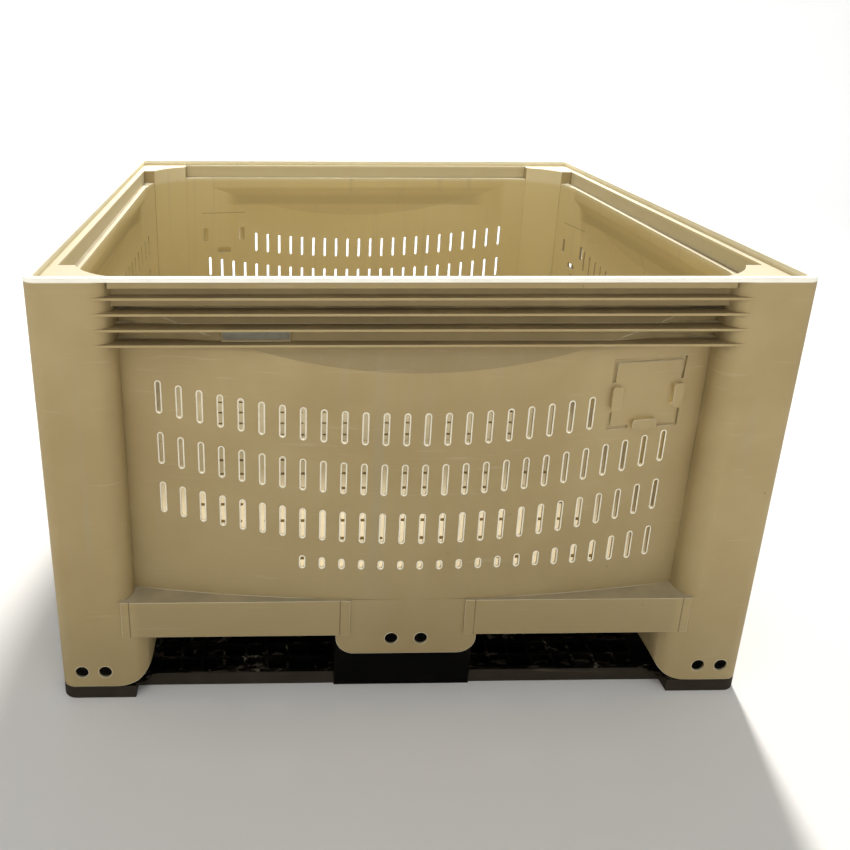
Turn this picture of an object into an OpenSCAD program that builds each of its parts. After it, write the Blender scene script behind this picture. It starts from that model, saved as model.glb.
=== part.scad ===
// Vented bulk fruit bin: two identical moulded halves welded at mid length, on three pinned runners.
// Millimetres, +Z up, the origin at the middle of the footprint on the ground, the front towards -Y.

/* [Overall] */
// Overall width across the front, with the base plates
width = 1130; // [1000:1:1250]
// Overall depth, front to rear, with the base plates
depth = 1219; // [1100:1:1350]
// Overall height, ground to rim
height = 711; // [600:1:900]
// Wall thickness of the moulding
wall = 6; // [4:0.5:9]

/* [Rim] */
// Width of the flat top of the lip
lip_width = 14; // [10:0.5:20]
// Thickness of the lip's flange at its outer edge
lip_flange = 6; // [4:0.5:9]
// Depth of the seat inside the lip, where the corner gussets lie
seat_drop = 11; // [8:0.5:16]
// How far the rim's upright sheet stands behind the outer face
sheet_recess = 20; // [16:0.5:26]
// Depth of the ledge below the rim
ledge_drop = 40; // [32:0.5:50]
// How far the web behind the ribs stands behind the outer face
web_recess = 32; // [28:0.5:44]
// Number of horizontal ribs below the lip
rib_count = 4; // [2:1:5]
// Depth of the first rib below the rim
rib_first = 30; // [24:0.5:30]
// Spacing of the ribs
rib_pitch = 23; // [18:0.5:24]
// Thickness of a rib
rib_thick = 3.5; // [2.5:0.5:6]

/* [Bowed walls] */
// How far a wall bows outward between its ends and its middle
bow_rise = 44.5; // [30:0.5:60]
// Depth below the rim where the wall starts to slope out to the bow
slope_start = 64; // [55:1:80]
// Height of the slope for each millimetre that it comes out
slope_rate = 2.4; // [1.8:0.1:3]

/* [Corner posts] */
// Reach of a post along each wall
post_reach = 122; // [100:1:140]
// Radius of the outer corner
corner_radius = 22; // [12:1:30]
// Radius of the post's edge beside a wall
post_round = 30; // [16:1:36]
// Radius of the bin's inside corner
inside_radius = 125; // [100:1:150]

/* [Slots] */
// Width of a wall slot
slot_width = 6.5; // [5:0.5:12]
// Length of a wall slot
slot_length = 50; // [36:1:60]
// Spacing of slots along a row
slot_pitch = 30.7; // [26:0.1:31]
// Spacing of rows
row_pitch = 83.5; // [70:0.5:95]
// Depth of the first row's middle below the rim
row_first = 230; // [205:1:240]
// Number of rows, the last one cut short
row_count = 4; // [2:1:4]
// Height of the level line where the last row stops
row_floor = 243; // [225:1:260]
// How far a row rises for a slot 400 mm from the middle
row_rise = 44; // [0:1:50]
// Slots on each side of the middle of an end wall
end_slots = 13; // [6:1:13]
// Slots on each side of the middle of a side wall
side_slots = 14; // [6:1:15]

/* [Label frame] */
// Width of the label frame
label_width = 114; // [80:1:124]
// Height of the label frame
label_height = 111; // [80:1:116]
// Distance of the frame's middle from the end of the bowed wall
label_inset = 94; // [80:1:100]
// Depth of the frame's top below the rim
label_drop = 128; // [115:1:132]
// Width of the groove round the frame
label_border = 5; // [3:0.5:7]
// How far the clips stand off the wall
clip_stand = 8; // [5:0.5:9]
// How far a clip reaches in from the frame's edge
clip_reach = 16; // [12:0.5:20]
// Length of a clip along the frame's edge
clip_length = 38; // [30:1:42]

/* [Base] */
// Height of the bin's floor above the ground
floor_height = 186; // [178:1:200]
// Height of the base skirt's lower edge
skirt_height = 121; // [114:1:125]
// How far the plates on the skirt stand out
plate_proud = 3.5; // [2:0.5:6]
// How far a plate runs onto the middle foot
plate_lap = 22; // [10:1:30]
// Width of the drain slot in a corner foot
drain_wide = 6; // [4:0.5:10]
// Height of the drain slot in a corner foot
drain_high = 16; // [10:1:20]
// How far a plate runs onto the post
plate_overlap = 17; // [10:1:30]
// Reach of a corner foot along each side
foot_reach = 150; // [135:1:165]
// Radius of a corner foot's lower inner corner
foot_round = 60; // [30:1:70]
// Half width of a middle foot
mid_half = 114; // [90:1:130]
// Height of a middle foot's lower edge
mid_height = 83; // [75:1:90]
// Radius of a middle foot's lower corners
mid_round = 30; // [12:1:31]
// Width of a floor vent
vent_width = 9; // [6:0.5:12]
// Length of a floor vent
vent_length = 86; // [50:1:100]
// Spacing of floor vents, front to rear
vent_pitch = 64; // [50:1:80]
// Depth of the ribs under the floor
deck_rib = 46; // [20:1:60]

/* [Runners and pins] */
// Thickness of a runner's board
board = 23; // [18:0.5:30]
// Height of the board between the feet
rail = 25; // [25:0.5:40]
// How far the board stands behind the feet's front faces
board_recess = 30; // [4:0.5:36]
// How far a middle block stands behind its foot's front face
block_recess = 26; // [0:0.5:36]
// Height of a runner's plug above the face that its foot rests on
plug_rise = 44; // [40:1:48]
// Gap between a plug and its foot
plug_gap = 1; // [0.5:0.25:2]
// Side of a pocket in the runner's top
pocket = 30; // [20:1:34]
// Depth of a pocket in the runner's top
pocket_depth = 12; // [6:1:16]
// Diameter of a pin's head
pin_head = 21; // [16:0.5:24]
// Diameter of a pin's shank
pin_shank = 15; // [10:0.5:16]
// Length of a pin's shank behind its head
pin_length = 36; // [24:1:40]
// Distance of the middle of a corner foot's pins from the corner
corner_pin_inset = 54; // [46:1:60]
// Spacing of the two pins in a corner foot
corner_pin_pitch = 38; // [32:1:44]
// Spacing of the two pins in a middle foot
mid_pin_pitch = 48; // [36:1:60]
// Height of a pin above the face that its foot rests on
pin_rise = 29; // [22:1:32]

/* [Identity plate] */
// Width of the plate
tag_width = 96; // [60:1:120]
// Thickness of the plate
tag_thick = 1.5; // [1:0.5:3]
// How far the plate stands behind the outer face
tag_recess = 15; // [4:0.5:16]
// Distance of the plate's middle from the wall's middle
tag_offset = 237; // [180:1:280]

/* [Hidden] */
$fn = 64;
BEIGE = [0.66, 0.59, 0.42];
BLACK = [0.05, 0.05, 0.05];
GREY = [0.5, 0.5, 0.52];
// Half sizes to the outer faces of the posts
hx = width / 2 - plate_proud;
hy = depth / 2 - plate_proud;
// Half lengths of the bowed walls between the posts
end_half = hx - post_reach;
side_half = hy - post_reach;
ledge_thick = wall;
ledge_top = height - ledge_drop;
seat_top = height - seat_drop;
slope_top = height - slope_start;
// A cut or a joint runs this far past a face
past = 2;
// A wall runs this far into its post
bite = wall - 2;
deck_top = floor_height - wall;
pin_gap = 0.7;
pin_set = 3;
head_thick = 5;
label_depth = 3;
clip_plate = 2.5;
clip_leg = 3;
clip_round = 5;
rib_last = rib_first + (rib_count - 1) * rib_pitch;
tag_high = (rib_pitch - rib_thick) * 0.82;
tag_z = height - rib_last + rib_pitch - rib_thick / 2 - tag_high / 2 - 0.2;
pocket_pitch = pocket + 6;
// A plug's walls, and how far its space keeps behind the pins
plug_wall = wall * 4;
plug_space = pin_set + head_thick + pin_length + 8;

// Radius of the bow of a wall with this half length
function bow(half) = (half * half + bow_rise * bow_rise) / (2 * bow_rise);
// How far the bowed face stands behind the outer face at this distance from the middle
function dip(half, x) = bow(half) - sqrt(bow(half) * bow(half) - x * x);
// Distance of the inside corner's centre from the outer faces
corner_m = post_reach + wall;
corner_n = dip(end_half, hx - corner_m) + wall;
corner_sum = corner_m + corner_n;
corner_room = corner_m * corner_m + corner_n * corner_n - inside_radius * inside_radius;
corner_c = (corner_sum + sqrt(corner_sum * corner_sum - 2 * corner_room)) / 2;

// A wall is made along X with its outer face at y = 0 and its inside towards +Y

// A prism along X from x0 to x1, with its outline given as recess and height
module along(x0, x1, outline) {
    translate([x0, 0, 0]) rotate([90, 0, 90]) linear_extrude(x1 - x0) polygon(outline);
}

// The lip, the upright sheet and the ledge
module rim_rail(x0, x1) {
    along(x0, x1, [[0, height], [0, height - lip_flange], [lip_width - wall, height - lip_flange],
        [lip_width - wall, seat_top - wall], [sheet_recess, seat_top - wall],
        [sheet_recess, ledge_top - ledge_thick], [web_recess + bow_rise, ledge_top - ledge_thick],
        [web_recess + bow_rise, ledge_top], [sheet_recess + wall, ledge_top],
        [sheet_recess + wall, seat_top], [lip_width, seat_top], [lip_width, height]]);
}

// The outline of the space outside or inside the web and its slope
function web_outline(recess, top) = [[recess, top], [recess, slope_top],
    [-past * 8, slope_top - (recess + past * 8) * slope_rate], [-past * 8, deck_top],
    [web_recess + bow_rise + 60, deck_top], [web_recess + bow_rise + 60, top]];

// The web and the bowed panel, as a solid from this face inwards
module web_solid(half, x0, x1, inset, top) {
    intersection() {
        along(x0, x1, web_outline(web_recess + inset, top));
        translate([0, bow(half), 0]) cylinder(r = bow(half) - inset, h = height + past, $fn = 360);
    }
}

// One horizontal rib
module rib(x0, x1, drop) {
    translate([x0, 0, height - drop - rib_thick / 2]) cube([x1 - x0, web_recess + bow_rise, rib_thick]);
}

// A slot's cutter, with its middle at this place and its ends rounded
module slot(x, z, length) {
    translate([x, web_recess + bow_rise + 40, z]) rotate([90, 0, 0]) linear_extrude(web_recess + bow_rise + 60)
        union() {
            square([slot_width, length - slot_width], center = true);
            translate([0, length / 2 - slot_width / 2]) circle(d = slot_width, $fn = 24);
            translate([0, slot_width / 2 - length / 2]) circle(d = slot_width, $fn = 24);
        }
}

// The middle height of a slot in this row
function slot_z(row, x) = height - row_first - row * row_pitch + row_rise * (x / 400) * (x / 400);
// The height of a slot's lower end, which stops at a level line in the last row
function slot_low(row, x) = max(row_floor, slot_z(row, x) - slot_length / 2);
// A slot keeps clear of the label frame
function slot_clear(half, x, z) = abs(x - half + label_inset) > label_width / 2 + slot_width
    || z + slot_length / 2 < height - label_drop - label_height - slot_width / 2;

// All slot cutters between two columns
module slots(half, first, last, shift) {
    for (row = [0 : row_count - 1]) for (i = [first : last]) {
        x = (i + shift) * slot_pitch;
        low = slot_low(row, x);
        high = slot_z(row, x) + slot_length / 2;
        if (high - low > slot_width * 1.6 && (row < 3 || i > -end_slots / 2) && slot_clear(half, x, slot_z(row, x)))
            slot(x, (low + high) / 2, high - low);
    }
}

// A layer that follows the bowed face, from one stand-off to another
module bow_layer(half, near, far) {
    translate([0, bow(half), 0]) difference() {
        cylinder(r = bow(half) + far, h = height, $fn = 360);
        translate([0, 0, -past]) cylinder(r = bow(half) + near, h = height + past * 2, $fn = 360);
    }
}

// A block across the wall, given by its middle and its sizes along the wall and upright
module block(x, z, wide, high) {
    translate([x - wide / 2, -40, z - high / 2]) cube([wide, web_recess + bow_rise + 80, high]);
}

// A block across the wall with its four corners rounded
module soft_block(x, z, wide, high, r) {
    translate([x, web_recess + bow_rise + 40, z]) rotate([90, 0, 0]) linear_extrude(web_recess + bow_rise + 80)
        union() {
            square([wide - r * 2, high], center = true);
            square([wide, high - r * 2], center = true);
            for (i = [-1, 1]) for (j = [-1, 1]) translate([i * (wide / 2 - r), j * (high / 2 - r)])
                circle(r = r, $fn = 24);
        }
}

// The groove round the label frame, which stops short of the three clips
module label_groove(half) {
    x = half - label_inset;
    z = height - label_drop - label_height / 2;
    clear = clip_length + 10;
    intersection() {
        bow_layer(half, -label_depth, past);
        difference() {
            block(x, z, label_width, label_height);
            block(x, z, label_width - label_border * 2, label_height - label_border * 2);
            for (side = [-1, 1]) block(x + side * label_width / 2, z - 4, label_border * 3, clear);
            block(x, z - label_height / 2, clear, label_border * 3);
        }
    }
}

// The three clips, each a plate with rounded corners that a leg at the frame's edge holds off the wall
module label_clips(half) {
    x = half - label_inset;
    z = height - label_drop - label_height / 2;
    for (side = [-1, 1]) {
        intersection() {
            bow_layer(half, clip_stand - clip_plate, clip_stand);
            soft_block(x + side * (label_width - clip_reach) / 2, z - 4, clip_reach, clip_length, clip_round);
        }
        intersection() {
            bow_layer(half, -wall / 2, clip_stand);
            block(x + side * (label_width - clip_leg) / 2, z - 4, clip_leg, clip_length - clip_round * 2);
        }
    }
    intersection() {
        bow_layer(half, clip_stand - clip_plate, clip_stand);
        soft_block(x, z - (label_height - clip_reach) / 2, clip_length, clip_reach, clip_round);
    }
    intersection() {
        bow_layer(half, -wall / 2, clip_stand);
        block(x, z - (label_height - clip_leg) / 2, clip_length - clip_round * 2, clip_leg);
    }
}

// The windows through the wall behind the clips
module label_windows(half) {
    x = half - label_inset;
    z = height - label_drop - label_height / 2;
    wide = clip_reach - clip_leg - 1;
    for (side = [-1, 1]) soft_block(x + side * (label_width / 2 - clip_reach + wide / 2), z - 4, wide,
        clip_length - 4, clip_round - 1);
    soft_block(x, z - label_height / 2 + clip_reach - wide / 2, clip_length - 4, wide, clip_round - 1);
}

// The pad between the last two ribs where the identity plate lies
module tag_pad(x) {
    translate([x - tag_width / 2 - 2, tag_recess + tag_thick, height - rib_last])
        cube([tag_width + 4, web_recess + bow_rise, rib_pitch]);
}

// A wall between two places along its length
module bowed_wall(half, x0, x1, first, last, shift, pad) {
    difference() {
        union() {
            web_solid(half, x0, x1, 0, ledge_top);
            for (i = [0 : rib_count - 1]) rib(x0, x1, rib_first + i * rib_pitch);
            if (pad) tag_pad(-tag_offset);
        }
        web_solid(half, x0 - past, x1 + past, wall, height);
        translate([x0 - past, sheet_recess + wall, ledge_top])
            cube([x1 - x0 + past * 2, web_recess + bow_rise + 100, height]);
        translate([x0 - past, web_recess + bow_rise, 0]) cube([x1 - x0 + past * 2, 200, height * 2]);
        if (x1 > half / 2) label_windows(half);
        if (x1 > half / 2) label_groove(half);
        slots(half, first, last, shift);
    }
    difference() {
        rim_rail(x0, x1);
        web_solid(half, x0 - past, x1 + past, wall, height);
    }
    if (x1 > half / 2) label_clips(half);
}

// A post is made with the outer corner at the origin, and its walls along +X and +Y

// The outline of a post or a foot from the outer corner
module post_outline(reach, inset) {
    r = corner_radius - inset;
    e = post_round - inset;
    far = reach - inset;
    difference() {
        translate([inset, inset]) square(far - inset);
        difference() {
            translate([inset - past, inset - past]) square(r + past);
            translate([inset + r, inset + r]) circle(r = r);
        }
        difference() {
            translate([far - e, inset - past]) square([e + past, e + past]);
            translate([far - e, inset + e]) circle(r = e);
        }
        difference() {
            translate([inset - past, far - e]) square([e + past, e + past]);
            translate([inset + e, far - e]) circle(r = e);
        }
    }
}

// The bin's inside corner, grown outwards by this much
module inside_corner(grow) {
    translate([corner_c, corner_c]) circle(r = inside_radius + grow, $fn = 128);
}

// Takes off a foot's lower inner corner, along X or Y
module foot_shave() {
    r = foot_round;
    translate([0, foot_reach + past, 0]) rotate([90, 0, 0]) linear_extrude(foot_reach + past * 2) difference() {
        translate([foot_reach - r, board - past]) square([r + past, r + past]);
        translate([foot_reach - r, board + r]) circle(r = r);
    }
}

// A hollow corner post with its gusset, its lip and its foot
module corner_post() {
    difference() {
        union() {
            difference() {
                union() {
                    translate([0, 0, deck_top]) linear_extrude(seat_top - deck_top) difference() {
                        post_outline(post_reach, 0);
                        inside_corner(0);
                    }
                    rib_ends();
                    mirror([1, -1, 0]) rib_ends();
                }
                translate([0, 0, deck_top - past]) linear_extrude(seat_top - wall - deck_top + past) difference() {
                    post_outline(post_reach, wall);
                    inside_corner(wall);
                }
            }
            translate([0, 0, seat_top - past]) linear_extrude(seat_drop + past) difference() {
                post_outline(post_reach, 0);
                post_outline(post_reach + lip_width * 3, lip_width);
            }
            difference() {
                translate([0, 0, board]) linear_extrude(floor_height - board) post_outline(foot_reach, 0);
                translate([0, 0, board - past]) linear_extrude(deck_top - board + past)
                    post_outline(foot_reach, wall);
                translate([0, 0, deck_top - past]) linear_extrude(wall + past * 2) difference() {
                    post_outline(post_reach, wall);
                    inside_corner(wall);
                }
                foot_shave();
                mirror([1, -1, 0]) foot_shave();
            }
        }
        for (i = [0, 1]) corner_pin_place(i) pin_hole();
        // A drain slot high in the foot's inner side
        translate([foot_reach - wall - past, foot_reach / 4, skirt_height - drain_high - wall])
            cube([wall + past * 2, drain_wide, drain_high]);
    }
}

// The ends of the ribs and the lip's flange, which run on over the post's rounded edge
module rib_ends() {
    for (i = [0 : rib_count - 1])
        translate([post_reach - post_round, 0, height - rib_first - i * rib_pitch - rib_thick / 2])
            cube([post_round + 1, post_round, rib_thick]);
    translate([post_reach - post_round, 0, height - lip_flange]) cube([post_round + 1, lip_width, lip_flange]);
}

// Pins are made along +Y from the outer face

// The two pin places in a corner foot, in its front face
module corner_pin_place(i) {
    translate([corner_pin_inset + (i - 0.5) * corner_pin_pitch, 0, board + pin_rise]) children();
}

// Both pin places in a middle foot
module mid_pin_places() {
    for (s = [-1, 1]) translate([s * mid_pin_pitch / 2, 0, mid_height + pin_rise]) children();
}

// The hole for a pin's head through a foot's skin
module pin_hole() {
    translate([0, -past, 0]) rotate([-90, 0, 0]) cylinder(d = pin_head + pin_gap, h = wall + past * 2, $fn = 48);
}

// The hole for a pin in a runner's plug
module pin_bore() {
    rotate([-90, 0, 0]) cylinder(d = pin_head + pin_gap, h = pin_set + head_thick, $fn = 48);
    rotate([-90, 0, 0]) cylinder(d = pin_shank + pin_gap, h = pin_set + head_thick + pin_length + 1, $fn = 48);
}

// A pin with a round head, a drive recess and a plain shank
module pin() {
    translate([0, pin_set, 0]) rotate([-90, 0, 0]) difference() {
        union() {
            cylinder(d = pin_head, h = head_thick, $fn = 48);
            cylinder(d = pin_shank, h = head_thick + pin_length, $fn = 48);
        }
        translate([0, 0, -past]) cylinder(d = pin_head * 0.45, h = past + 2.5, $fn = 6);
    }
}

// A middle foot is made with its outer face at y = 0 and its middle at x = 0

// The rounded outline of a middle foot's front, from its lower edge up to this height
module mid_face(top) {
    r = mid_round;
    translate([-mid_half, mid_height + r]) square([mid_half * 2, top - mid_height - r]);
    translate([r - mid_half, mid_height]) square([mid_half * 2 - r * 2, r + 1]);
    for (s = [-1, 1]) translate([s * (mid_half - r), mid_height + r]) circle(r = r);
}

// A hollow middle foot below the floor
module mid_foot() {
    difference() {
        translate([0, foot_reach, 0]) rotate([90, 0, 0]) linear_extrude(foot_reach) mid_face(floor_height);
        translate([wall - mid_half, wall, mid_height - past])
            cube([mid_half * 2 - wall * 2, foot_reach - wall * 2, deck_top - mid_height + past]);
        mid_pin_places() pin_hole();
    }
}

// The upright skirt under a wall, with its plates, between two places
module skirt(half, x0, x1) {
    difference() {
        translate([x0, 0, skirt_height]) cube([x1 - x0, wall, floor_height - skirt_height]);
        mid_pin_places() pin_hole();
    }
    plate_far = half + plate_overlap;
    plate_near = mid_half - plate_lap;
    for (s = [-1, 1]) {
        a = s < 0 ? -plate_far : plate_near;
        b = s < 0 ? -plate_near : plate_far;
        if (a >= x0 - plate_overlap * 2 && b <= x1 + plate_overlap * 2)
            translate([a, -plate_proud, skirt_height]) cube([b - a, plate_proud + 1, floor_height - skirt_height]);
    }
}

// The front half of the floor, with its vents and the ribs under it
module deck() {
    rows = floor((hy - foot_reach / 2) / vent_pitch);
    step = vent_length + 40;
    columns = floor((hx - foot_reach / 2) / step);
    difference() {
        translate([-hx + wall / 2, -hy + wall / 2, deck_top]) cube([hx * 2 - wall, hy - wall / 2, wall]);
        for (j = [0 : rows - 1]) for (i = [-columns : columns - 1])
            vent((i + 0.5) * step, -(j + 0.5) * vent_pitch);
        for (s = [-1, 1]) translate([s * hx, -hy, deck_top - past]) mirror([s > 0 ? 1 : 0, 0, 0])
            linear_extrude(wall + past * 2) difference() {
                post_outline(post_reach, wall);
                inside_corner(wall);
            }
        for (s = [-1, 1]) translate([s > 0 ? hx - corner_radius : -hx - past, -hy - past, deck_top - past])
            cube([corner_radius + past, corner_radius + past, wall + past * 2]);
    }
    // The ribs under the floor carry on the lines of the feet's walls
    for (s = [-1, 1]) for (i = [0 : 3])
        translate([s * (mid_half - wall / 2 + i * (hx - foot_reach + wall - mid_half) / 3) - wall / 2, -hy + wall / 2,
            deck_top - deck_rib]) cube([wall, hy - wall / 2, deck_rib + 1]);
    for (j = [0 : 2]) translate([-hx + wall / 2, -hy + foot_reach - wall + j * (hy - foot_reach + wall - mid_half) / 2,
        deck_top - deck_rib]) cube([hx * 2 - wall, wall, deck_rib + 1]);
}

// A floor vent's cutter, long along X
module vent(x, y) {
    translate([x, y, deck_top - past]) linear_extrude(wall + past * 2) union() {
        square([vent_length - vent_width, vent_width], center = true);
        for (s = [-1, 1]) translate([s * (vent_length - vent_width) / 2, 0]) circle(d = vent_width, $fn = 24);
    }
}

// Keeps the front half of a foot that the weld plane cuts
module front_half_of() {
    intersection() {
        children();
        translate([-width, -depth, 0]) cube([width * 2, depth, height]);
    }
}

// One moulded half: an end wall, half of each side wall and half of the floor
module half_shell() {
    translate([0, -hy, 0]) {
        bowed_wall(end_half, -end_half - bite, end_half + bite, -end_slots, end_slots - 1, 0.5, true);
        skirt(end_half, -hx + corner_radius, hx - corner_radius);
        mid_foot();
    }
    // The left wall's label end and the right wall's plain end lie in this half
    translate([-hx, 0, 0]) rotate([0, 0, -90]) {
        bowed_wall(side_half, 0, side_half + bite, 0, side_slots - 1, 0.5, false);
        skirt(side_half, 0, hy - corner_radius);
    }
    translate([hx, 0, 0]) rotate([0, 0, 90]) {
        bowed_wall(side_half, -side_half - bite, 0, -side_slots, -1, 0.5, false);
        skirt(side_half, -hy + corner_radius, 0);
    }
    translate([-hx, -hy, 0]) corner_post();
    translate([hx, -hy, 0]) mirror([1, 0, 0]) corner_post();
    deck();
    front_half_of() translate([-hx, 0, 0]) rotate([0, 0, -90]) mid_foot();
    front_half_of() translate([hx, 0, 0]) rotate([0, 0, 90]) mid_foot();
}

module front_half_shell() {
    color(BEIGE) half_shell();
}

module rear_half_shell() {
    color(BEIGE) rotate([0, 0, 180]) half_shell();
}

// The pockets in a runner's top between two places
module pockets(x0, x1, y0) {
    n = floor((x1 - x0 - 6) / pocket_pitch);
    start = (x0 + x1) / 2 - (n - 1) * pocket_pitch / 2;
    for (i = [0 : n - 1]) for (j = [0 : 2])
        translate([start + i * pocket_pitch - pocket / 2, y0 + j * pocket_pitch, rail - pocket_depth])
            cube([pocket, pocket, pocket_depth + past]);
}

// A runner's board along X with its front face at y = 0, and its pockets
module runner_board() {
    difference() {
        union() {
            translate([-hx + 1, board_recess, 0]) cube([hx * 2 - 2, foot_reach - board_recess, board]);
            translate([foot_reach + 1 - hx, board_recess, 0])
                cube([(hx - foot_reach - 1) * 2, foot_reach - board_recess, rail]);
        }
        for (s = [-1, 1]) pockets(s < 0 ? -hx + foot_reach : mid_half, s < 0 ? -mid_half : hx - foot_reach,
            (foot_reach + board_recess - pocket_pitch * 2 - pocket) / 2);
    }
}

// The block's shoulder, which follows the curve of the foot's lower corner
module block_shoulder() {
    r = mid_round;
    translate([mid_half - r, foot_reach, mid_height - 1]) rotate([90, 0, 0])
        linear_extrude(foot_reach - block_recess) difference() {
            square([r, r * 0.8]);
            translate([0, r + 1]) circle(r = r + 0.3);
        }
}

// A plug that fills a middle foot, on a block that carries the foot's lower edge
module mid_plug() {
    difference() {
        union() {
            translate([-mid_half, block_recess, 0]) cube([mid_half * 2, foot_reach - block_recess, mid_height]);
            for (s = [0, 1]) mirror([s, 0, 0]) block_shoulder();
            translate([wall + plug_gap - mid_half, wall + plug_gap, mid_height - 1])
                cube([(mid_half - wall - plug_gap) * 2, foot_reach - (wall + plug_gap) * 2, plug_rise + 1]);
        }
        mid_pin_places() pin_bore();
    }
}

// The space inside a middle plug, open at the ground
module mid_plug_space() {
    translate([plug_wall - mid_half, plug_space, -past])
        cube([(mid_half - plug_wall) * 2, foot_reach - plug_space - plug_wall,
            mid_height + plug_rise - plug_wall + past]);
}

// A plug that fills a corner foot, on the pad that carries the foot's lower edge
module corner_plug() {
    difference() {
        union() {
            linear_extrude(board) intersection() {
                post_outline(foot_reach, 0);
                square([foot_reach - post_round, foot_reach]);
            }
            translate([0, 0, board - 1]) linear_extrude(plug_rise + 1) post_outline(foot_reach, wall + plug_gap);
        }
        for (i = [0, 1]) corner_pin_place(i) pin_bore();
        foot_shave_plug();
        mirror([1, -1, 0]) foot_shave_plug();
    }
}

// Keeps a corner plug behind its foot's rounded lower corner
module foot_shave_plug() {
    r = foot_round;
    translate([0, foot_reach + past, 0]) rotate([90, 0, 0]) linear_extrude(foot_reach + past * 2) difference() {
        translate([foot_reach - r, board]) square([r + past, r + past]);
        translate([foot_reach - r, board + r]) circle(r = r - plug_gap);
    }
}

// A runner under an end wall, with the front face at y = 0
module end_runner() {
    difference() {
        union() {
            runner_board();
            mid_plug();
        }
        mid_plug_space();
    }
    translate([-hx, 0, 0]) corner_plug();
    translate([hx, 0, 0]) mirror([1, 0, 0]) corner_plug();
}

module front_runner() {
    color(BLACK) translate([0, -hy, 0]) end_runner();
}

module rear_runner() {
    color(BLACK) rotate([0, 0, 180]) translate([0, -hy, 0]) end_runner();
}

module middle_runner() {
    color(BLACK) difference() {
        union() {
            translate([0, -foot_reach / 2, 0]) difference() {
                translate([-hx + foot_reach / 2, 0, 0]) cube([(hx - foot_reach / 2) * 2, foot_reach, rail]);
                for (s = [-1, 1]) pockets(s < 0 ? -hx + foot_reach : mid_half, s < 0 ? -mid_half : hx - foot_reach,
                    foot_reach / 2 - pocket_pitch - pocket / 2);
            }
            translate([-mid_half, -foot_reach / 2, 0]) cube([mid_half * 2, foot_reach, deck_top - deck_rib]);
            translate([-hx, 0, 0]) rotate([0, 0, -90]) mid_plug();
            translate([hx, 0, 0]) rotate([0, 0, 90]) mid_plug();
        }
        translate([-hx, 0, 0]) rotate([0, 0, -90]) mid_plug_space();
        translate([hx, 0, 0]) rotate([0, 0, 90]) mid_plug_space();
        translate([plug_wall - mid_half, plug_wall - foot_reach / 2, -past])
            cube([(mid_half - plug_wall) * 2, foot_reach - plug_wall * 2, deck_top - deck_rib - plug_wall + past]);
    }
}

// The two pins of a corner foot, and of a middle foot
module corner_pins() {
    for (i = [0, 1]) corner_pin_place(i) pin();
}

module mid_pins() {
    mid_pin_places() pin();
}

module front_left_pins() {
    color(BLACK) translate([-hx, -hy, 0]) corner_pins();
}

module front_right_pins() {
    color(BLACK) translate([hx, -hy, 0]) mirror([1, 0, 0]) corner_pins();
}

module front_middle_pins() {
    color(BLACK) translate([0, -hy, 0]) mid_pins();
}

module rear_left_pins() {
    color(BLACK) rotate([0, 0, 180]) translate([hx, -hy, 0]) mirror([1, 0, 0]) corner_pins();
}

module rear_right_pins() {
    color(BLACK) rotate([0, 0, 180]) translate([-hx, -hy, 0]) corner_pins();
}

module rear_middle_pins() {
    color(BLACK) rotate([0, 0, 180]) translate([0, -hy, 0]) mid_pins();
}

module left_middle_pins() {
    color(BLACK) translate([-hx, 0, 0]) rotate([0, 0, -90]) mid_pins();
}

module right_middle_pins() {
    color(BLACK) translate([hx, 0, 0]) rotate([0, 0, 90]) mid_pins();
}

// A bare plate that lies on its pad between two ribs
module id_plate() {
    color(GREY) translate([-tag_offset, -hy + tag_recess + tag_thick, tag_z]) rotate([90, 0, 0]) linear_extrude(tag_thick)
        union() {
            square([tag_width - 6, tag_high], center = true);
            translate([-tag_width / 2, 3 - tag_high / 2]) square([tag_width, tag_high - 3]);
            for (s = [-1, 1]) translate([s * (tag_width / 2 - 3), 3 - tag_high / 2]) circle(r = 3, $fn = 24);
        }
}

front_half_shell();
rear_half_shell();
front_runner();
middle_runner();
rear_runner();
front_left_pins();
front_middle_pins();
front_right_pins();
rear_left_pins();
rear_middle_pins();
rear_right_pins();
left_middle_pins();
right_middle_pins();
id_plate();
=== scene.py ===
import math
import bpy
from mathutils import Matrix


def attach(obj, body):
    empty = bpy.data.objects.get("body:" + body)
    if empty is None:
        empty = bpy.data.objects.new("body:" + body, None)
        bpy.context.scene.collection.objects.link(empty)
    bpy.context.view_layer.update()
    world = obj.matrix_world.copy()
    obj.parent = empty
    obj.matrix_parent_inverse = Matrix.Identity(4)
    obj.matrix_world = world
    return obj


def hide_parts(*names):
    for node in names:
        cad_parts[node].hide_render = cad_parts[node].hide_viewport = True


bl_info = {
    "name": "Vented fruit bin",
    "version": (1, 0, 0),
    "blender": (4, 5, 0),
    "location": "3D View > Sidebar > Fruit bin",
    "description": "Dresses the packed fruit bin: mouldings, rims, weld, pins, worn plastics and a stage",
    "category": "Object",
}

import bmesh
import bpy
from mathutils import Matrix, Vector
from mathutils.bvhtree import BVHTree
from mathutils.kdtree import KDTree

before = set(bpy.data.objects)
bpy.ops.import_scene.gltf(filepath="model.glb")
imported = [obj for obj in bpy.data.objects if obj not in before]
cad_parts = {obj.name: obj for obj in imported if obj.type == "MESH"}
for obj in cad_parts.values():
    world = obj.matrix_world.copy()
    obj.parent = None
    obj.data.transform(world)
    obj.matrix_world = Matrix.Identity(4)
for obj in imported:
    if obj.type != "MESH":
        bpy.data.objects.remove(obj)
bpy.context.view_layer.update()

# Middle of the bin to the outer faces of its side posts and of its end posts
OUTER_X = 0.5615
OUTER_Y = 0.606
# How much further a side wall reaches from its middle than an end wall
LONGER = OUTER_Y - OUTER_X
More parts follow.
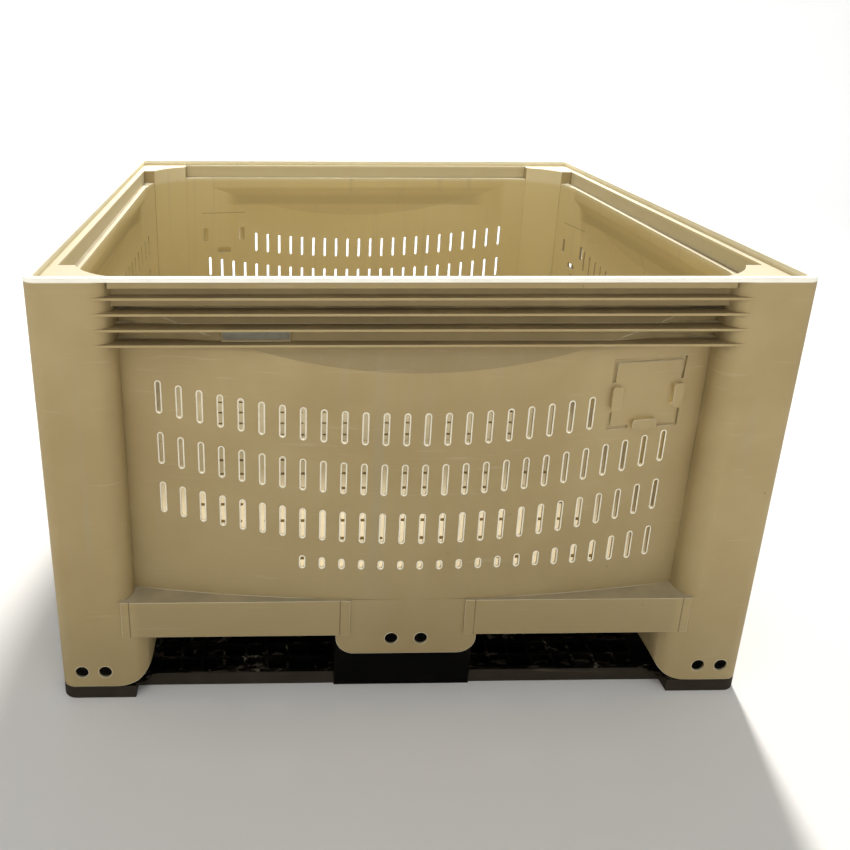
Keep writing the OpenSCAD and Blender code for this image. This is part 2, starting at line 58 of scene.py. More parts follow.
# Quarter turns that carry the front wall's pieces onto each wall
WALL_TURNS = {"front": 0.0, "right": 90.0, "rear": 180.0, "left": -90.0}
SIDE_WALLS = ("left", "right")

# Heights above the ground
LIP_BOTTOM = 0.7035
RAIL_BOTTOM = 0.660
RIBS_TOP = 0.700
RIBS_BOTTOM = 0.597
LABEL_TOP = 0.580
SLOPE_BOTTOM = 0.545
FOOT_TOP = 0.125
# Places along an end wall from its middle. On a side wall the outer ones lie further out.
WALL_END = 0.440
LABEL_MIDDLE = 0.3455
LABEL_HALF = 0.055
BAND_PLATE_NEAR = 0.108
BAND_PLATE_FAR = 0.443
# Half the width of a fine line
FINE_LINE = 0.0009

# Slots in a row, and rows in a wall
END_COLUMNS = 26
SIDE_COLUMNS = 28
ROWS = 4
# The label frame takes this much of the top row beside the post
LABEL_ROOM = 0.159
# The short row starts this many slots before the middle
SHORT_ROW_START = 6.2
# How far the middle of a slot's rim stands off the slot, and the radius of its section
RIM_OFFSET = 0.0008
RIM_RADIUS = 0.0011

# A pair of pins in a corner foot and in a middle foot: spacing, and height above the ground
CORNER_PAIR = (0.038, 0.052)
MIDDLE_PAIR = (0.048, 0.112)
# Middle of a corner pair, in from the side post's outer face
CORNER_INSET = 0.054
# How deep a pin's head lies in its hole, and how thick the hole's rim is
PIN_DEEP = 0.003
PIN_RIM = 0.0006

# The weld across the floor: half its length, and its height
WELD_FLOOR = (0.548, 0.1858)
# The weld down a side wall: how far in from the post's outer face, and height
WELD_WALL = ((0.0325, 0.646), (0.0005, 0.5705), (0.0005, 0.190))
WELD_STEP = 0.004

PLATE_ROUND = 0.0004

# Lights: place, aim, and angle or diameter
KEY = ((0.7, 5.0, 3.2), (0.0, 0.0, 0.0), 0.12)
BACKDROP = ((0.0, 1.4, 5.2), (0.0, 9.0, 2.2), 5.0)
FILL = ((-0.5, -2.8, 4.2), (0.0, 0.0, 0.4), 3.6)


# Properties that a user would change

class BinSizes(bpy.types.PropertyGroup):
    half_width: bpy.props.FloatProperty(
        name="Half width", description="Middle of the bin to the outer face of a side post",
        default=OUTER_X, unit="LENGTH")
    half_depth: bpy.props.FloatProperty(
        name="Half depth", description="Middle of the bin to the outer face of an end post",
        default=OUTER_Y, unit="LENGTH")
    post_reach: bpy.props.FloatProperty(
        name="Post reach", description="Reach of a corner post along a wall",
        default=0.122, unit="LENGTH")
    bow_rise: bpy.props.FloatProperty(
        name="Bow", description="How far a wall bows outward between its ends and its middle",
        default=0.0445, unit="LENGTH")
    shell_round: bpy.props.FloatProperty(
        name="Moulding edge radius", description="Rounding of the edges of the beige mouldings",
        default=0.001, unit="LENGTH")
    runner_round: bpy.props.FloatProperty(
        name="Runner edge radius", description="Rounding of the edges of the black runners",
        default=0.0015, unit="LENGTH")
    slot_width: bpy.props.FloatProperty(
        name="Slot width", description="Width of a wall slot", default=0.0065, unit="LENGTH")
    slot_length: bpy.props.FloatProperty(
        name="Slot length", description="Length of a wall slot", default=0.050, unit="LENGTH")
    slot_pitch: bpy.props.FloatProperty(
        name="Slot spacing", description="Spacing of slots along a row", default=0.0307, unit="LENGTH")
    row_pitch: bpy.props.FloatProperty(
        name="Row spacing", description="Spacing of slot rows", default=0.0835, unit="LENGTH")
    row_top: bpy.props.FloatProperty(
        name="Top row", description="Height of the top row's middle above the ground",
        default=0.481, unit="LENGTH")
    row_floor: bpy.props.FloatProperty(
        name="Row floor", description="Height of the level line where the lowest row stops",
        default=0.243, unit="LENGTH")
    row_rise: bpy.props.FloatProperty(
        name="Row rise", description="How far a row rises for a slot 400 mm from the middle",
        default=0.044, unit="LENGTH")
    pin_head: bpy.props.FloatProperty(
        name="Pin head", description="Diameter of a pin's head", default=0.021, unit="LENGTH")
    pin_shank: bpy.props.FloatProperty(
        name="Pin shank", description="Diameter of a pin's shank", default=0.015, unit="LENGTH")
    bead: bpy.props.FloatProperty(
        name="Weld bead", description="Radius of the bead along the weld of the two halves",
        default=0.0016, unit="LENGTH")


class BinColours(bpy.types.PropertyGroup):
    beige: bpy.props.FloatVectorProperty(
        name="Beige", description="Clean moulded plastic", subtype="COLOR", default=(0.395, 0.305, 0.147))
    beige_warm: bpy.props.FloatVectorProperty(
        name="Warm beige", description="Patches where the plastic is a little darker and warmer",
        subtype="COLOR", default=(0.350, 0.262, 0.118))
    # Lit copy of the beige for faces inside the tub: the same plastic, painted lighter for the brighter light
    # there
    inner: bpy.props.FloatVectorProperty(
        name="Inner beige", description="Plastic inside the tub, which the weather leaves alone",
        subtype="COLOR", default=(0.63, 0.515, 0.252))
    # Sun bleaching, and also painted sunlight on faces that look up and on the rails' inner faces
    bleached_and_lit: bpy.props.FloatVectorProperty(
        name="Bleached", description="Sun-bleached faces that look up", subtype="COLOR",
        default=(0.78, 0.71, 0.50))
    worn: bpy.props.FloatVectorProperty(
        name="Worn edge", description="Whitened edges of slots, ribs and lips", subtype="COLOR",
        default=(0.60, 0.54, 0.40))
    # Pale rim: on the edge of a slot it is a painted glow, the light through the thin plastic there; on a
    # foot's edges it is rubbed wear
    rim: bpy.props.FloatVectorProperty(
        name="Pale rim", description="Pale rubbed edge round a slot and on a foot", subtype="COLOR",
        default=(0.96, 0.92, 0.78))
    # A painted highlight: the sunlight on the lip
    lip_highlight: bpy.props.FloatVectorProperty(
        name="Cream", description="The lip's bleached edge", subtype="COLOR", default=(0.98, 0.96, 0.87))
    dust: bpy.props.FloatVectorProperty(
        name="Dust", description="Grey dust on low ledges", subtype="COLOR", default=(0.33, 0.30, 0.225))
    # Painted shade: the slope under the ribs, the low walls and the middle of each wall are painted with this
    # darker beige
    shaded: bpy.props.FloatVectorProperty(
        name="Shadowed beige", description="Darker, handled plastic", subtype="COLOR",
        default=(0.19, 0.143, 0.068))
    soil: bpy.props.FloatVectorProperty(
        name="Soil", description="Brown dirt in corners and on ribs", subtype="COLOR",
        default=(0.15, 0.105, 0.05))
    black: bpy.props.FloatVectorProperty(
        name="Black", description="Black plastic of the runners", subtype="COLOR",
        default=(0.0012, 0.0011, 0.0009))
    scuffed: bpy.props.FloatVectorProperty(
        name="Scuffed black", description="Rubbed and dusty black plastic", subtype="COLOR",
        default=(0.085, 0.070, 0.050))
    plate: bpy.props.FloatVectorProperty(
        name="Plate", description="Dull grey identity plate", subtype="COLOR", default=(0.205, 0.195, 0.145))
    floor: bpy.props.FloatVectorProperty(
        name="Floor", description="Pale studio floor", subtype="COLOR", default=(0.83, 0.83, 0.825))


class BinStage(bpy.types.PropertyGroup):
    focal_pixels: bpy.props.FloatProperty(
        name="Focal length", description="Focal length in pixels of the square frame", default=920.0)
    frame_pixels: bpy.props.FloatProperty(
        name="Frame", description="Width of the square frame in pixels", default=850.0)
    middle_x: bpy.props.FloatProperty(
        name="Optical middle across", description="Optical middle in the frame, from the left", default=300.0)
    middle_y: bpy.props.FloatProperty(
        name="Optical middle down", description="Optical middle in the frame, from the top", default=382.27)
    eye: bpy.props.FloatVectorProperty(
        name="Eye", description="Place of the camera", subtype="TRANSLATION",
        default=(-0.2081, -1.8435, 1.0346))
    pitch: bpy.props.FloatProperty(
        name="Pitch", description="How far the camera looks down", subtype="ANGLE", default=0.368)
    yaw: bpy.props.FloatProperty(
        name="Yaw", description="How far the camera turns to the left", subtype="ANGLE", default=-0.0273)
    roll: bpy.props.FloatProperty(
        name="Roll", description="How far the camera leans to the left", subtype="ANGLE", default=0.0064)
    key_strength: bpy.props.FloatProperty(
        name="Key light", description="Strength of the low sun behind the bin", default=4.3)
    fill_power: bpy.props.FloatProperty(
        name="Fill light", description="Large soft light above the front", default=44.0, unit="POWER")
    backdrop_power: bpy.props.FloatProperty(
        name="Backdrop light", description="Soft light on the far floor", default=620.0, unit="POWER")
    sky: bpy.props.FloatProperty(
        name="Surround", description="Strength of the even surrounding light", default=0.255)


# Node trees, written as Python expressions

class Signal:
    """A socket of a node tree. Sums and products of signals add Math nodes."""

    def __init__(self, tree, socket):
        self.tree = tree
        self.socket = socket

    def _math(self, operation, left, right):
        node = self.tree.nodes.new("ShaderNodeMath")
        node.operation = operation
        for slot, value in enumerate((left, right)):
            if isinstance(value, Signal):
                self.tree.links.new(value.socket, node.inputs[slot])
            elif value is not None:
                node.inputs[slot].default_value = value
        return Signal(self.tree, node.outputs[0])

    def __add__(self, other):
        return self._math("ADD", self, other)

    __radd__ = __add__

    def __sub__(self, other):
        return self._math("SUBTRACT", self, other)

    def __rsub__(self, other):
        return self._math("SUBTRACT", other, self)

    def __mul__(self, other):
        return self._math("MULTIPLY", self, other)

    __rmul__ = __mul__

    def __truediv__(self, other):
        return self._math("DIVIDE", self, other)

    def __pow__(self, other):
        return self._math("POWER", self, other)

    def __neg__(self):
        return self._math("MULTIPLY", self, -1.0)

    def __abs__(self):
        return self._math("ABSOLUTE", self, None)

    def __lt__(self, other):
        return self._math("LESS_THAN", self, other)

    def __gt__(self, other):
        return self._math("GREATER_THAN", self, other)

    def floor(self):
        return self._math("FLOOR", self, None)

    def larger(self, other):
        return self._math("MAXIMUM", self, other)

    def smaller(self, other):
        return self._math("MINIMUM", self, other)

    def sqrt(self):
        return self._math("SQRT", self, None)

    def arcsine(self):
        return self._math("ARCSINE", self, None)


class Sheet:
    """A node tree being drawn, with one way of adding a node."""

    def __init__(self, tree):
        self.tree = tree

    def add(self, kind, settings=None, sockets=None):
        node = self.tree.nodes.new(kind)
        for name, value in (settings or {}).items():
            setattr(node, name, value)
        for name, value in (sockets or {}).items():
            if isinstance(value, Signal):
                self.tree.links.new(value.socket, node.inputs[name])
            else:
                node.inputs[name].default_value = value
        return node

    def out(self, node, name=0):
        return Signal(self.tree, node.outputs[name])

    def ease(self, value, low, high):
        """0 below low and 1 above high, with a smooth way between. Low may be the larger."""
        node = self.add("ShaderNodeMapRange", {"interpolation_type": "SMOOTHSTEP"},
                        {"Value": value, "From Min": low, "From Max": high})
        return self.out(node)

    def blend(self, factor, under, over):
        """Two colours mixed by a signal."""
        node = self.add("ShaderNodeMix", {"data_type": "RGBA"}, {0: factor})
        for slot, value in ((6, under), (7, over)):
            if isinstance(value, Signal):
                self.tree.links.new(value.socket, node.inputs[slot])
            else:
                node.inputs[slot].default_value = (*value, 1.0)
        return self.out(node, 2)

    def noise(self, where, scale, detail=3.0, rough=0.55, twist=0.0):
        node = self.add("ShaderNodeTexNoise", None, {
            "Vector": where, "Scale": scale, "Detail": detail, "Roughness": rough, "Distortion": twist})
        return self.out(node)

    def stretched(self, where, scale):
        node = self.add("ShaderNodeMapping", {"vector_type": "POINT"}, {"Vector": where, "Scale": scale})
        return self.out(node)

    def vector(self, sockets):
        return self.out(self.add("ShaderNodeCombineXYZ", None, sockets))

    def parts(self, vector):
        node = self.add("ShaderNodeSeparateXYZ", None, {0: vector})
        return [self.out(node, i) for i in range(3)]


class Finish(Sheet):
    """A material being drawn on Object coordinates."""

    def __init__(self, name):
        self.material = bpy.data.materials.new(name)
        self.material.use_nodes = True
        super().__init__(self.material.node_tree)
        self.shader = self.tree.nodes["Principled BSDF"]
        self.where = self.out(self.add("ShaderNodeTexCoord"), "Object")
        self.x, self.y, self.z = self.parts(self.where)
        geometry = self.add("ShaderNodeNewGeometry")
        self.nx, self.ny, self.nz = self.parts(self.out(geometry, "Normal"))
        self.tilt = abs(self.parts(self.out(geometry, "True Normal"))[2])

    def crevice(self, reach):
        """1 deep in a corner, 0 in the open."""
        node = self.add("ShaderNodeAmbientOcclusion", {"samples": 6, "only_local": True}, {"Distance": reach})
        return 1.0 - self.out(node, "AO")

    def mark(self, value, at, half):
        """1 on a thin line where a signal has this value, 0 beside it."""
        return self.ease(abs(value - at), half * 1.6, half * 0.6)

    def attribute(self, name):
        return self.out(self.add("ShaderNodeAttribute", {"attribute_name": name}), "Fac")

    def bump(self, layers):
        """Height signals laid over each other, each with its strength and its height in metres."""
        normal = None
        for height, strength, distance in layers:
            node = self.add("ShaderNodeBump", None, {
                "Height": height, "Strength": strength, "Distance": distance})
            if normal is not None:
                self.tree.links.new(normal.socket, node.inputs["Normal"])
            normal = self.out(node, "Normal")
        self.tree.links.new(normal.socket, self.shader.inputs["Normal"])

    def close(self, colour, rough):
        self.tree.links.new(colour.socket, self.shader.inputs["Base Color"])
        self.tree.links.new(rough.socket, self.shader.inputs["Roughness"])
        return self.material


def beige_plastic(colours):
    """Weathered plastic: mottled, with sun bleaching and painted sunlight on top, dusty below, soiled in
    corners and whitened on edges. Painted light and shade: a lighter copy inside the tub, a painted highlight
    on the lip, and painted shade on the slope, low down and between the ribs.
    """
    f = Finish("beige_plastic")
    # Patterns
    mottle = f.noise(f.where, 3.1, 4.0, 0.6, 0.4)
    patch = f.noise(f.where, 11.0, 3.0, 0.6)
    grain = f.noise(f.where, 420.0, 2.0, 0.5)
    streak = f.noise(f.stretched(f.where, (34.0, 34.0, 1.7)), 1.0, 3.0, 0.6, 0.3)
    scrape = f.noise(f.stretched(f.where, (9.0, 9.0, 160.0)), 1.0, 2.0, 0.6, 0.6)
    # Where on the bin
    up = f.ease(f.nz, 0.45, 0.85)
    low = f.ease(f.z, 0.36, 0.12)
    rim = f.ease(f.z, 0.55, 0.66)
    lip = f.ease(f.z, LIP_BOTTOM, LIP_BOTTOM + 0.0025)
    inside = f.ease(f.crevice(0.030), 0.30, 0.85)
    tight = f.ease(f.crevice(0.007), 0.42, 0.92)
    # How far in from the outer faces
    recess = (OUTER_Y - abs(f.y)).smaller(OUTER_X - abs(f.x))
    side = (abs(f.x) / OUTER_X) > (abs(f.y) / OUTER_Y)
    # Faces that look into the tub
    outward = side * f.nx * f.x + (1.0 - side) * f.ny * f.y
    inward = f.ease(outward, -0.05, -0.16) * f.ease(recess, 0.0025, 0.0045)
    high = f.ease(f.z, RAIL_BOTTOM, RAIL_BOTTOM + 0.012)
    # Place along the wall from its middle, to the right as seen from outside
    along = side * ((f.x > 0.0) * 2.0 - 1.0) * f.y - (1.0 - side) * ((f.y > 0.0) * 2.0 - 1.0) * f.x
    between = f.ease(abs(along) - side * LONGER, WALL_END, WALL_END - 0.015)
    # The floor of the tub
    deck = up * f.ease(recess, 0.06, 0.09) * f.ease(f.z, 0.30, 0.20)
    # The strip outside the upright sheet where the ribs are
    ribs = f.ease(recess, 0.034, 0.026) * f.ease(f.z, RIBS_BOTTOM, RIBS_BOTTOM + 0.008)
    ribs = ribs * f.ease(f.z, RIBS_TOP, RIBS_TOP - 0.006)

    # Layers of colour, from the clean plastic up
    colour = f.blend(f.ease(mottle * 0.7 + patch * 0.3, 0.36, 0.68), colours.beige, colours.beige_warm)
    # Painted light: faces that look into the tub take the lighter copy of the plastic, for the brighter light
    # inside the tub
    colour = f.blend(inward * (0.86 + patch * 0.2), colour, colours.inner)
    # Painted sunlight on the rails' inner faces near the top
    colour = f.blend(inward * high * (0.34 + patch * 0.3), colour, colours.bleached_and_lit)
    # Faces that look up are sun-bleaching pale, and also painted lighter for the sunlight on them, more so
    # higher up
    colour = f.blend(up * (0.35 + rim * 0.45 + deck * 0.05) * (1.0 - ribs), colour, colours.bleached_and_lit)
    # Painted shade: the slope from the ribs out to the bow lies under the ribs and is painted a little darker
    slope = f.ease(f.tilt, 0.20, 0.26) * f.ease(f.tilt, 0.58, 0.52)
    slope = slope * f.ease(f.z, SLOPE_BOTTOM, SLOPE_BOTTOM + 0.010)
    colour = f.blend(slope * (1.0 - ribs) * (0.50 - inward * 0.38), colour, colours.shaded)
    colour = f.blend(f.ease(streak, 0.56, 0.82) * 0.26 * (1.0 - ribs), colour, colours.dust)
    colour = f.blend(f.ease(scrape, 0.63, 0.78) * 0.16, colour, colours.worn)
    colour = f.blend(up * low * (1.0 - deck * 0.8) * f.ease(patch, 0.26, 0.56) * 0.72, colour, colours.dust)
    # Painted shade: outside the tub, darker towards the bottom and in the middle of each wall
    shadowed = f.ease(f.z, 0.34, 0.03) * 0.34 + between * f.ease(f.z, 0.60, 0.20) * 0.18
    colour = f.blend(shadowed * (1.0 - inward) * (1.0 - deck), colour, colours.shaded)
    dirt = inside * f.ease(patch + streak, 0.70, 1.25) * (0.42 - ribs * 0.2)
    colour = f.blend(dirt * (1.0 - inward * 0.7), colour, colours.soil)
    # Painted shade in the gaps between the ribs, on set-back faces that do not look up
    colour = f.blend(ribs * f.ease(recess, 0.006, 0.012) * (1.0 - up) * 0.27, colour, colours.soil)
    colour = f.blend(up * ribs * (0.36 + f.ease(patch + scrape, 0.75, 1.15) * 0.24), colour, colours.soil)
    colour = f.blend(tight * f.ease(mottle + patch, 0.62, 1.12) * (0.72 - inward * 0.4), colour, colours.soil)
    colour = f.blend(f.attribute("grime") * f.ease(patch, 0.32, 0.60) * 0.62, colour, colours.soil)
    colour = f.blend(f.attribute("worn") * f.ease(patch + streak, 0.55, 1.05) * 0.85, colour, colours.worn)
    # Painted highlight: the lip is painted near white for the sunlight on it, less on its faces that look
    # into the tub
    lip_light = (1.0 - inward * 0.6) * (0.86 + f.ease(patch, 0.35, 0.6) * 0.12)
    colour = f.blend(lip * lip_light, colour, colours.lip_highlight)
    foot = f.ease(f.z, FOOT_TOP, FOOT_TOP - 0.020)
    colour = f.blend(f.attribute("worn") * foot * f.ease(patch, 0.25, 0.5) * 0.8, colour, colours.rim)

    # A fine line near each end of the plates on the base band
    line = f.mark(abs(f.x), BAND_PLATE_FAR, FINE_LINE) + f.mark(abs(f.x), BAND_PLATE_NEAR, FINE_LINE)
    line = line * f.ease(abs(f.y), OUTER_Y + 0.0022, OUTER_Y + 0.0028)
    turned = f.mark(abs(f.y), BAND_PLATE_FAR + LONGER, FINE_LINE)
    turned = turned + f.mark(abs(f.y), BAND_PLATE_NEAR, FINE_LINE)
    line = line + turned * f.ease(abs(f.x), OUTER_X + 0.0022, OUTER_X + 0.0028)
    colour = f.blend(line * f.ease(patch + streak, 0.50, 0.85) * 0.85, colour, colours.soil)

    # The sink line that the label frame leaves inside the tub
    beside = abs(along - LABEL_MIDDLE - side * LONGER) < LABEL_HALF
    sink = beside * f.mark(f.z, LABEL_TOP, FINE_LINE) * inward
    colour = f.blend(sink * 0.5, colour, colours.soil)

    speck = f.add("ShaderNodeTexVoronoi", {"feature": "F1"}, {"Vector": f.where, "Scale": 46.0})
    rare = f.ease(f.noise(f.where, 23.0, 1.0), 0.62, 0.66)
    colour = f.blend(f.ease(f.out(speck), 0.085, 0.045) * rare * 0.75, colour, colours.soil)

    rough = 0.50 + patch * 0.16 + up * 0.10 + inside * 0.12 - f.attribute("worn") * 0.06
    f.bump([(mottle, 0.22, 0.004), (patch, 0.16, 0.0016), (grain, 0.10, 0.0004), (line + sink, -0.5, 0.001)])
    f.shader.inputs["Specular IOR Level"].default_value = 0.42
    return f.close(colour, rough)


def pale_rim(colours):
    """The edge of a slot, painted pale for the glow of light through the thin plastic there, soiled here and
    there.
    """
    f = Finish("pale_rim")
    patch = f.noise(f.where, 26.0, 3.0, 0.6)
    rub = f.noise(f.where, 160.0, 2.0)
    colour = f.blend(f.ease(rub, 0.35, 0.7) * 0.30, colours.rim, colours.bleached_and_lit)
    colour = f.blend(f.ease(patch, 0.60, 0.80) * 0.40, colour, colours.beige)
    f.bump([(rub, 0.15, 0.0004)])
    return f.close(colour, 0.40 + patch * 0.2)


def worn_rim(colours):
    """The rubbed edge of a pin hole, a little lighter than the plastic round it."""
    f = Finish("worn_rim")
    patch = f.noise(f.where, 60.0, 3.0, 0.6)
    colour = f.blend(f.ease(patch, 0.35, 0.65) * 0.7, colours.worn, colours.beige)
    return f.close(colour, 0.45 + patch * 0.2)


def black_plastic(colours):
    """Black plastic, rubbed grey on the boards' front edges, with brown dust on top of the pocket walls."""
    f = Finish("black_plastic")
    patch = f.noise(f.where, 14.0, 4.0, 0.62, 0.5)
    blotch = f.noise(f.where, 38.0, 3.0, 0.6, 0.8)
    grain = f.noise(f.where, 380.0, 2.0)
    scrape = f.noise(f.stretched(f.where, (5.0, 40.0, 130.0)), 1.0, 2.0, 0.6, 0.5)
    dash = f.noise(f.stretched(f.where, (17.0, 62.0, 20.0)), 1.0, 3.0, 0.6, 0.6)
    up = f.ease(f.nz, 0.5, 0.9)
    front = f.ease((OUTER_Y - abs(f.y)).smaller(OUTER_X - abs(f.x)), 0.034, 0.031)
    board = f.ease(f.z, 0.028, 0.022) * f.ease(abs(f.x), 0.112, 0.116) * front
    colour = f.blend(f.ease(patch, 0.48, 0.80) * 0.10, colours.black, colours.scuffed)
    colour = f.blend(board * (1.0 - up) * (0.26 + patch * 0.16), colour, colours.scuffed)
    colour = f.blend(up * f.ease(dash, 0.55, 0.66) * 0.6, colour, colours.scuffed)
    colour = f.blend(up * f.ease(blotch + patch, 1.14, 1.30) * 0.45, colour, colours.dust)
    colour = f.blend(f.ease(scrape, 0.62, 0.76) * board * 0.5, colour, colours.scuffed)
    colour = f.blend(f.attribute("worn") * f.ease(blotch, 0.38, 0.62) * 0.35, colour, colours.scuffed)
    rough = 0.50 + patch * 0.24 + up * 0.12
    f.shader.inputs["Specular IOR Level"].default_value = 0.04
    f.bump([(patch, 0.2, 0.002), (blotch, 0.2, 0.0008), (grain, 0.12, 0.0004)])
    return f.close(colour, rough)


def dull_plate(colours):
    """A dull grey metal plate, brushed along its length and soiled at its edges."""
    f = Finish("plate_metal")
    brush = f.noise(f.stretched(f.where, (12.0, 60.0, 900.0)), 1.0, 2.0, 0.6)
    patch = f.noise(f.where, 60.0, 4.0, 0.6, 0.4)
    dark = tuple(v * 0.55 for v in colours.plate)
    colour = f.blend(f.ease(brush, 0.35, 0.7) * 0.5 + f.ease(patch, 0.4, 0.7) * 0.4, colours.plate, dark)
    colour = f.blend(f.ease(patch, 0.60, 0.75) * 0.5, colour, colours.dust)
    rough = 0.42 + patch * 0.25
    f.shader.inputs["Metallic"].default_value = 0.25
    f.bump([(patch, 0.25, 0.0006), (brush, 0.1, 0.0002)])
    return f.close(colour, rough)


def pale_floor(colours):
    """A plain pale floor with a faint mottle."""
    f = Finish("pale_floor")
    patch = f.noise(f.where, 1.3, 3.0)
    shade = tuple(v * 0.97 for v in colours.floor)
    colour = f.blend(patch, colours.floor, shade)
    return f.close(colour, 0.75 + patch * 0.05)


MAKERS = {"beige_plastic": beige_plastic, "pale_rim": pale_rim, "worn_rim": worn_rim,
          "black_plastic": black_plastic, "plate_metal": dull_plate, "pale_floor": pale_floor}


def finish_named(context, name):
    """The material of this name, made the first time that it is asked for."""
    found = bpy.data.materials.get(name)
    if found is None or not found.get("bin_finish"):
        found = MAKERS[name](context.scene.bin_colours)
        found["bin_finish"] = True
    return found


# Mesh work shared by the pieces

def linked(name, data):
    """A new object in the scene for a mesh, a light or a camera."""
    made = bpy.data.objects.new(name, data)
    bpy.context.scene.collection.objects.link(made)
    return made


def settle(context, piece, slot, nodes=()):
    """Gives a finished piece its material and its body, and hides the solids that it stands for."""
    if not piece.data.materials:
        piece.data.materials.append(finish_named(context, slot))
    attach(piece, "root")
    if nodes:
        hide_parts(*nodes)
    return piece


def bend_of(vertex):
    """Positive at the crest of a rounded edge, negative in the bottom of a rounded corner."""
    return sum((vertex.co - edge.other_vert(vertex).co).dot(vertex.normal) for edge in vertex.link_edges)


def sharp_edges(bm, sharpest, skipped):
    """Edges that bend by more than an angle in degrees, apart from the skipped ones."""
    limit = math.radians(sharpest)
    return [e for e in bm.edges if e.index not in skipped and e.calc_face_angle(0.0) > limit]


def misshapen(bm, solid, radius):
    """Corners of faces that a rounding turned over or pushed off the solid."""
    corners = set()
    for face in bm.faces:
        if face.calc_area() < 1e-9:
            continue
        _, normal, _, distance = solid.find_nearest(face.calc_center_median())
        if distance > radius or face.normal.dot(normal) < -0.2:
            corners.update(tuple(vertex.co) for vertex in face.verts)
    return corners


def edges_near(edges, corners, reach):
    """Indices of the edges that pass within reach of any of these corners."""
    tree = KDTree(len(corners))
    for index, corner in enumerate(corners):
        tree.insert(corner, index)
    tree.balance()
    found = set()
    for index, start, end in edges:
        steps = max(1, int((end - start).length / 0.002))
        if any(tree.find(start.lerp(end, step / steps))[2] < reach for step in range(steps + 1)):
            found.add(index)
    return found


def rounded(base, radius, sharpest, tries):
    """Rounds the sharp edges of a solid. Edges whose rounding goes wrong stay sharp on the next try."""
    solid = BVHTree.FromBMesh(base)
    skipped = set()
    for left in reversed(range(tries)):
        bm = base.copy()
        sharp = sharp_edges(bm, sharpest, skipped)
        places = [(e.index, e.verts[0].co.copy(), e.verts[1].co.copy()) for e in sharp]
        made = bmesh.ops.bevel(bm, geom=sharp, offset=radius, offset_type="OFFSET", segments=2, profile=0.5,
                               affect="EDGES", clamp_overlap=False, loop_slide=False)
        bmesh.ops.triangulate(bm, faces=[f for f in bm.faces if len(f.verts) > 4])
        bm.normal_update()
        corners = misshapen(bm, solid, radius)
        if not corners or not left:
            return bm, made
        skipped |= edges_near(places, corners, radius * 3.0)
        bm.free()


def rounded_copy(node, name, radius, sharpest=24.0, tries=3):
    """A copy of a solid with its sharp edges rounded. Crests and corners are marked for the finish."""
    base = bmesh.new()
    base.from_mesh(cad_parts[node].data)
    bmesh.ops.remove_doubles(base, verts=base.verts, dist=radius * 0.3)
    bmesh.ops.dissolve_degenerate(base, edges=base.edges, dist=5e-5)
    bmesh.ops.join_triangles(base, faces=base.faces, angle_face_threshold=math.radians(0.4),
                             angle_shape_threshold=math.radians(170.0))
    base.edges.index_update()
    bm, made = rounded(base, radius, sharpest, tries)
    base.free()
    crests = set(face for face in made["faces"] if face.is_valid)
    worn = bm.verts.layers.float.new("worn")
    grime = bm.verts.layers.float.new("grime")
    for vertex in bm.verts:
        if vertex.link_faces and all(face in crests for face in vertex.link_faces):
            crest = bend_of(vertex) > 0.0
            vertex[worn] = 1.0 if crest else 0.0
            vertex[grime] = 0.0 if crest else 1.0
    for face in bm.faces:
        face.smooth = True
    for edge in bm.edges:
        edge.smooth = len(edge.link_faces) == 2 and edge.calc_face_angle(0.0) < math.radians(52.0)
    mesh = bpy.data.meshes.new(name)
    bm.to_mesh(mesh)
    bm.free()
    return linked(name, mesh)


def flat_faces_kept(piece):
    """Large faces keep their own direction, and only the roundings turn the light."""
    weighted = piece.modifiers.new("flat_faces_kept", "WEIGHTED_NORMAL")
    weighted.keep_sharp = True
    return piece


def grown(name, tree, inputs, mesh=None):
    """Runs a geometry tree on a mesh with these inputs and returns the plain result as a piece."""
    holder = linked(name + "_seed", mesh or bpy.data.meshes.new(name + "_seed"))
    modifier = holder.modifiers.new("grow", "NODES")
    modifier.node_group = tree
    for item in tree.interface.items_tree:
        if item.item_type == "SOCKET" and item.in_out == "INPUT" and item.name in inputs:
            modifier[item.identifier] = inputs[item.name]
    graph = bpy.context.evaluated_depsgraph_get()
    result = bpy.data.meshes.new_from_object(holder.evaluated_get(graph))
    holder.modifiers.remove(modifier)
    bpy.data.objects.remove(holder)
    result.name = name
    return linked(name, result)


def geometry_tree(name, inputs):
    """An empty geometry tree with named inputs, as its sheet and a dictionary of its input signals."""
    tree = bpy.data.node_groups.new(name, "GeometryNodeTree")
    face = tree.interface
    face.new_socket("Geometry", in_out="INPUT", socket_type="NodeSocketGeometry")
    for label, (kind, value) in inputs.items():
        socket = face.new_socket(label, in_out="INPUT", socket_type="NodeSocket" + kind)
        if value is not None:
            socket.default_value = value
    face.new_socket("Geometry", in_out="OUTPUT", socket_type="NodeSocketGeometry")
    sheet = Sheet(tree)
    entry = sheet.add("NodeGroupInput")
    signals = {socket.name: Signal(tree, socket) for socket in entry.outputs if socket.name}
    return sheet, signals


def end_tree(sheet, geometry, material):
    """Ends a geometry tree with real geometry and its material."""
    real = sheet.out(sheet.add("GeometryNodeRealizeInstances", None, {0: geometry}))
    dressed = sheet.add("GeometryNodeSetMaterial", None, {"Geometry": real, "Material": material})
    sheet.add("NodeGroupOutput", None, {0: sheet.out(dressed)})


def keep_value(sheet, geometry, name, kind, value):
    """Stores a value on each point of a geometry under a name."""
    return sheet.out(sheet.add("GeometryNodeStoreNamedAttribute", {"data_type": kind}, {
        "Geometry": geometry, "Name": name, "Value": value}))


def kept_value(sheet, name, kind):
    return sheet.out(sheet.add("GeometryNodeInputNamedAttribute", {"data_type": kind}, {"Name": name}))


